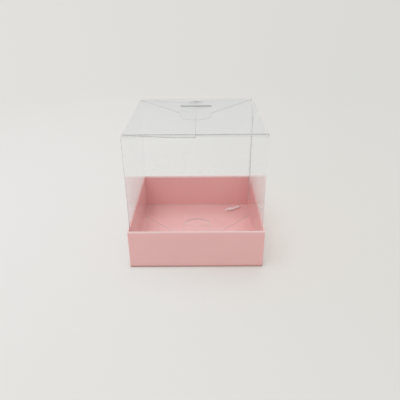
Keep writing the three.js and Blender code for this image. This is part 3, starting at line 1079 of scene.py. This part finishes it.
def rear_outline(shares):
    half = box_half - rear_side_inset
    shoulder, neck = from_rear(shares["shoulder"]), from_rear(shares["neck"])
    nose_centre = from_rear(shares["nose"]) - tongue_half
    slant = Vector((half - tongue_half, shoulder - neck)).normalized() * neck_fillet
    turn_in = Vector((tongue_half + slant.x, neck + slant.y))
    corner, turn_out = Vector((tongue_half, neck)), Vector((tongue_half, neck + neck_fillet))
    filleted = bezier_points(turn_in, corner, turn_out, neck_steps)
    right = [Vector((half, 0)), Vector((half, shoulder)), turn_in, *filleted]
    nose = arc_points((0, nose_centre), tongue_half, tongue_half, 0, math.pi, round_steps)
    left = [Vector((-p.x, p.y)) for p in reversed(right)]
    return right + nose + left


def dust_outline(past_middle):
    half = box_half - wall_inset - dust_side_inset
    tip = box_half - wall_inset + past_middle
    cut = dust_corner_cut
    corners = [(-half + cut, 0), (half - cut, 0), (half, cut), (half, tip), (-half, tip), (-half, cut)]
    return [Vector(corner) for corner in corners]


print("front flap", len(front_outline()), "points, rear flap", len(rear_outline(top_shares)), "points")

# %% [markdown]
# ## How the flaps lie
#
# A flap that is drawn flat looks like a drawing. Real ones sag by a fraction of a millimetre, and their
# free ends lift or droop. Each flap gets a height over its flat outline. The front and rear flaps share
# one sag, so the two layers stay clear of each other. The tongue has a height of its own: level at
# first, then a soft step down through the slot, and level again under the rear flap. Where it steps
# down, a short grey line is painted, partly for the stressed sheet and partly as painted shade.

# %% Heights over a flat flap
slot_line_reach = 1.1 * mm


def shared_sag(x, y, depth):
    along_x = max(0.0, 1 - (x / box_half) ** 2)
    along_y = max(0.0, 1 - ((hinge_line + y) / box_half) ** 2)
    return -depth * along_x * along_y


def soft_step(share):
    t = min(1.0, max(0.0, share))
    return t * t * (3 - 2 * t)


def front_height(shares, sag):
    drop_from = from_front(shares["slot"]) - slot_opening / 2
    tongue = tongue_outline(shares, tongue_kerf / 2)

    def height(x, y):
        level = shared_sag(x, y, sag)
        if y < drop_from or not contains(tongue, Vector((x, y))):
            return level
        return level - 2 * layer_step * soft_step((y - drop_from) / slot_opening)

    return height


# A grey line is painted across the tongue at the slot, partly for the stressed sheet and partly as painted shade.
def stress_and_shade_at_slot(shares, strength):
    slot = from_front(shares["slot"])
    tongue = tongue_outline(shares, tongue_kerf / 2)

    def fold(x, y):
        on_tongue = abs(y - slot) <= slot_line_reach and contains(tongue, Vector((x, y)))
        return strength * fading(abs(y - slot), 0.0, slot_line_reach) if on_tongue else 0.0

    return fold


def closure_place(end_name, side, depth, lean=0.0):
    level = {"top": box_top, "bottom": box_base}[end_name]
    turned_over = Matrix.Rotation({"top": 0.0, "bottom": math.pi}[end_name], 4, "Y")
    hinge = to_side(side, -hinge_line) @ Matrix.Translation((0, 0, -depth))
    return Matrix.Translation((0, 0, level)) @ turned_over @ hinge @ Matrix.Rotation(-lean, 4, "X")


print("heights ready")

# %% [markdown]
# ## The closures
#
# Now the eight flaps are cut, lifted and laid in place. Each tongue stays part of its flap, so that one
# mesh stands for both solids. The bottom closure is the same as the top one, turned over, with shorter
# reaches. Its slot and cuts show through the box as thin lines on the pink floor.


# %% How strongly each cut shows
tongue_middle_reach = 6 * mm


def front_edges(shares, sides, tongue_sides, tongue_middle):
    tip = from_front(shares["tongue_end"]) + tongue_kerf + hair
    slot = from_front(shares["slot"])

    def edge(x, y):
        if y < hair:
            return 0.0
        if abs(x) > tongue_half + tongue_kerf + hair or y > tip:
            return sides
        if y < slot:
            return tongue_sides
        return tongue_sides + tongue_middle * fading(abs(x), 0.0, tongue_middle_reach)

    return edge


def rear_edges(shares, sides, slant, nose, slot_edge):
    slot, neck = from_rear(shares["slot"]), from_rear(shares["neck"])

    def edge(x, y):
        if y < hair:
            return 0.0
        if abs(y - slot) < slot_opening / 2 + hair and abs(x) < tongue_half + slot_overlength + hair:
            return slot_edge
        if abs(x) > box_half - rear_side_inset - hair:
            return sides
        return nose if y > neck + neck_fillet - hair else slant

    return edge


front_edge_strengths = {
    "top": front_edges(top_shares, sides=0.03, tongue_sides=0.03, tongue_middle=1.0),
    "bottom": front_edges(bottom_shares, sides=0.1, tongue_sides=0.3, tongue_middle=0.2),
}
rear_edge_strengths = {
    "top": rear_edges(top_shares, sides=0.03, slant=0.45, nose=0.25, slot_edge=1.0),
    "bottom": rear_edges(bottom_shares, sides=0.1, slant=0.4, nose=0.2, slot_edge=0.15),
}
print("edges of", len(front_edge_strengths) + len(rear_edge_strengths), "flaps")

# %% Front flaps with their tongues
closures = [("top", top_shares, 0.3 * mm), ("bottom", bottom_shares, 0.0)]  # end, reaches, sag
front_nodes = {"top": ["lid_flap", "lid_tongue"], "bottom": ["bottom_front_flap", "bottom_tongue"]}
slot_stress_and_shade = {"top": 1.0, "bottom": 0.1}

for end_name, shares, sag in closures:
    mesh = cut_panel(
        front_nodes[end_name][0] + "_sheet",
        front_outline(),
        [tongue_cut(shares)],
        clear_stock,
        height=front_height(shares, sag),
        fold=stress_and_shade_at_slot(shares, slot_stress_and_shade[end_name]),
        edge=front_edge_strengths[end_name],
        step=1.4 * mm,
    )
    finish_piece(mesh, closure_place(end_name, "front", sheet_half), front_nodes[end_name])

# %% Rear flaps
for end_name, shares, sag in closures:
    flap_node = end_name + "_rear_flap"
    mesh = cut_panel(
        flap_node + "_sheet",
        rear_outline(shares),
        [slot_outline(shares)],
        clear_stock,
        height=lambda x, y: shared_sag(x, y, sag),
        edge=rear_edge_strengths[end_name],
    )
    finish_piece(mesh, closure_place(end_name, "rear", layer_step + sheet_half), [flap_node])

# %% [markdown]
# The dust flaps lean into the box. The left one at the top droops most, and the corner that shows under
# the front edge curls up again. The right one bends up towards its end, so that it ends almost level.
# A bottom flap has two small wrinkles, where it was once pinched. They are painted white, partly as
# whitening and partly as a painted highlight where they catch the light.


# %% Bends and wrinkles of the dust flaps
curl_height, curl_from, curl_over = 0.5 * mm, 26 * mm, 12 * mm
bend_height, bend_over = 0.6 * mm, 30 * mm
wrinkles = [
    (Vector((-28.3, 14.4)) * mm, Vector((-34.5, 6.0)) * mm, 1.0),
    (Vector((-27.3, 17.9)) * mm, Vector((-33.7, 11.5)) * mm, 0.5),
]
wrinkle_height = 0.2 * mm
wrinkle_width = 0.8 * mm
wrinkle_taper = 4 * mm


def curl_at_corner(x, y):
    return curl_height * soft_step(x / box_half) * soft_step((y - curl_from) / curl_over)


def bent_level(x, y):
    return bend_height * soft_step(y / bend_over)


def wrinkled(x, y):
    total = 0.0
    for start, end, strength in wrinkles:
        along_wrinkle = (end - start).normalized()
        reach = (Vector((x, y)) - start).dot(along_wrinkle)
        beside = (Vector((x, y)) - start).cross(along_wrinkle)
        from_ends = min(reach, (end - start).length - reach)
        total += strength * soft_step(from_ends / wrinkle_taper + 0.5) * math.exp(-((beside / wrinkle_width) ** 2))
    return total


def raised_wrinkles(x, y):
    return -wrinkle_height * wrinkled(x, y)


print(len(wrinkles), "wrinkles,", round(wrinkle_height / mm, 2), "mm high")

# %% Dust flaps
whitening_and_glint, whitest_glint = 1.8, 1.5
tip_reach = 0.5 * mm
# From this share of a wrinkle's height the sheet is painted white, partly as whitening and partly as a painted
# highlight.
whitened_and_glint_above = 0.2  # share of a wrinkle's height from which the sheet is whitened
dust_flaps = {
    # node: side when drawn at the top, lean in degrees, reach past the middle in mm, height, tip, sides
    "top_left_dust_flap": ("left", 3, 0.3, curl_at_corner, 1.4, 0.5),
    "top_right_dust_flap": ("right", 1.5, -0.05, bent_level, 0.1, 0.15),
    "bottom_left_dust_flap": ("right", 1.5, -0.02, nowhere, 0.3, 0.15),
    "bottom_right_dust_flap": ("left", 1.5, -0.05, raised_wrinkles, 0.1, 0.15),
}


def tip_edge(tip, sides):
    def edge(x, y):
        if y < hair:
            return 0.0
        return tip if y > box_half - wall_inset - tip_reach else sides

    return edge


for flap_node, (drawn_side, lean, past_middle, height, tip, sides) in dust_flaps.items():
    outline = dust_outline(past_middle * mm)
    mesh = cut_panel(
        flap_node + "_sheet", outline, [], clear_stock, height=height, edge=tip_edge(tip, sides), step=0.9 * mm
    )
    if height == raised_wrinkles:
        paint(mesh, "whitened_and_glint", lambda co: min(whitest_glint, whitening_and_glint * wrinkled(co.x, co.y)))
        for polygon in mesh.polygons:
            if wrinkled(polygon.center.x, polygon.center.y) > whitened_and_glint_above:
                polygon.material_index = finishes.index("crease")
    end_name = flap_node.split("_")[0]
    hinge_place = closure_place(end_name, drawn_side, 2 * layer_step + sheet, math.radians(lean))
    finish_piece(mesh, hinge_place @ Matrix.Translation((0, 0, sheet_half)), [flap_node])

# %% [markdown]
# ## Floor, light and background
#
# The box stands on a white table in soft daylight from the left. The floor is a wide disc with a faint
# grain. Around the box it is lit like everything else, so that it takes the shadow. Away from the
# shadow it fades into a tone of its own, and far away into the tone of the world, so that no horizon
# shows from any side. All these tones are painted lighter on the left than on the right, as a painted
# falloff of the light from the left, and near the box the tone drops most towards the right, as
# painted shadow.
#
# A round lamp, high up on the left like a window, gives the soft shadow to the right. A strip light
# above and behind the box adds thin highlights on the rolled card, beside the painted highlight there,
# and on the folds of the sheet. The world fills in the rest.

# %% Lay the floor
floor_radius = 12.0
floor_gap = 0.02 * mm
ring_count = 96
ring_angles = [2 * math.pi * i / ring_count for i in range(ring_count)]
ring = [(floor_radius * math.cos(a), floor_radius * math.sin(a), 0) for a in ring_angles]
floor_mesh = bpy.data.meshes.new("floor")
floor_mesh.from_pydata(ring, [], [list(range(ring_count))])
floor = bpy.data.objects.new("floor", floor_mesh)
floor.location.z = -floor_gap
scene.collection.objects.link(floor)
print("floor", 2 * floor_radius, "m wide")

# %% Give the floor its tones
# Each tone is painted darker on its right side, as a painted falloff of the light from the left; near the box it
# drops most, as painted shadow.
table_left = (0.8, 0.79, 0.78, 1)
table_right = (0.74, 0.72, 0.69, 1)
near_left = (0.82, 0.8, 0.79, 1)
near_right = (0.725, 0.715, 0.68, 1)
backdrop_left = (0.765, 0.755, 0.732, 1)
backdrop_right = (0.705, 0.7, 0.68, 1)
painted_falloff = {"start": -0.5, "stop": 0.35}
near_radius = 200 * mm  # within it the tone changes less from left to right
shadow_middle = Vector((55, 10, 0)) * mm
rim_shadow_reach = 2.5 * mm
shadow_ends = {"start": 30 * mm, "stop": 120 * mm}
backdrop_ends = {"start": 120 * mm, "stop": 500 * mm}
soft = {"interpolation_type": "SMOOTHSTEP"}

table, tree, place = new_material("table")
from_middle = add(tree, "ShaderNodeVectorMath", {0: place}, operation="LENGTH").outputs["Value"]
sideways = add(tree, "ShaderNodeSeparateXYZ", {"Vector": place})
off_middle = sums(tree, "DIVIDE", sideways.outputs["X"], sums(tree, "ADD", from_middle, near_radius))
to_right = between(tree, off_middle, 0.0, 1.0, **painted_falloff)
grain = use(tree, fine_grain, place, {"Grain Scale": 900.0, "Cloud Scale": 9.0, "Cloud Share": 0.8})
table_inputs = {
    "Base Color": mixed(tree, to_right, table_left, table_right),
    "Roughness": between(tree, grain, 0.5, 0.6),
    "Specular IOR Level": 0.2,
}
from_shadow = add(tree, "ShaderNodeVectorMath", {0: place, 1: -shadow_middle}, operation="ADD")
off_shadow = add(tree, "ShaderNodeVectorMath", {0: from_shadow}, operation="LENGTH").outputs["Value"]
unshaded = between(tree, off_shadow, 0.25, 0.8, **shadow_ends, **soft)
far = between(tree, from_middle, 0.0, 1.0, **backdrop_ends, **soft)
near_tone = mixed(tree, to_right, near_left, near_right)
far_tone = mixed(tree, to_right, backdrop_left, backdrop_right)
own_tone = add(tree, "ShaderNodeEmission", {"Color": mixed(tree, far, near_tone, far_tone)})
across = sums(tree, "ABSOLUTE", sideways.outputs["X"])
deep = sums(tree, "ABSOLUTE", sideways.outputs["Y"])
from_tray = minus(tree, sums(tree, "MAXIMUM", across, deep), tray_half)
clear_of_tray = between(tree, from_tray, 0.0, 1.0, stop=rim_shadow_reach)
share = times(tree, sums(tree, "MAXIMUM", unshaded, far), clear_of_tray)
lay_over(tree, add(tree, "ShaderNodeMixShader", {"Fac": share, 1: principled(tree, table_inputs), 2: own_tone}))
floor_mesh.materials.append(table)

# %% Light the box
room_white = (1.0, 0.995, 0.985, 1)
world = bpy.data.worlds.new("daylight")
world.use_nodes = True
tree = world.node_tree
tree.nodes.clear()
skyward = add(tree, "ShaderNodeSeparateXYZ", {"Vector": add(tree, "ShaderNodeTexCoord").outputs["Generated"]})
brightness = between(tree, skyward.outputs["Z"], 0.64, 0.89)
room = add(tree, "ShaderNodeBackground", {"Color": room_white, "Strength": brightness})
# The backdrop that the camera sees is painted darker to the right, as a painted falloff of the light from the
# left.
facing_right = between(tree, skyward.outputs["X"], 0.0, 1.0, **painted_falloff)
horizon_tone = mixed(tree, facing_right, backdrop_left, backdrop_right)
backdrop = add(tree, "ShaderNodeBackground", {"Color": horizon_tone})
path = add(tree, "ShaderNodeLightPath")
seen = add(tree, "ShaderNodeMixShader", {"Fac": path.outputs["Is Camera Ray"], 1: room, 2: backdrop})
add(tree, "ShaderNodeOutputWorld", {"Surface": seen})
scene.world = world


def lamp(name, towards, strength, **settings):
    data = bpy.data.lights.new(name, "AREA")
    data.energy = strength
    for key, value in settings.items():
        setattr(data, key, value)
    made = bpy.data.objects.new(name, data)
    made.location = towards
    made.rotation_euler = towards.to_track_quat("Z", "Y").to_euler()
    scene.collection.objects.link(made)


lamp("window", Vector((-0.35, -0.2, 0.95)), 1.9, shape="DISK", size=0.7, color=(1.0, 0.985, 0.96))
lamp("strip", Vector((0.12, 0.55, 0.7)), 0.7, shape="RECTANGLE", size=0.5, size_y=0.25)
scene.view_settings.view_transform = "Standard"
skins_crossed = 40  # a ray through the whole box crosses many skins
scene.cycles.max_bounces = skins_crossed
scene.cycles.transmission_bounces = skins_crossed
scene.cycles.transparent_max_bounces = 64
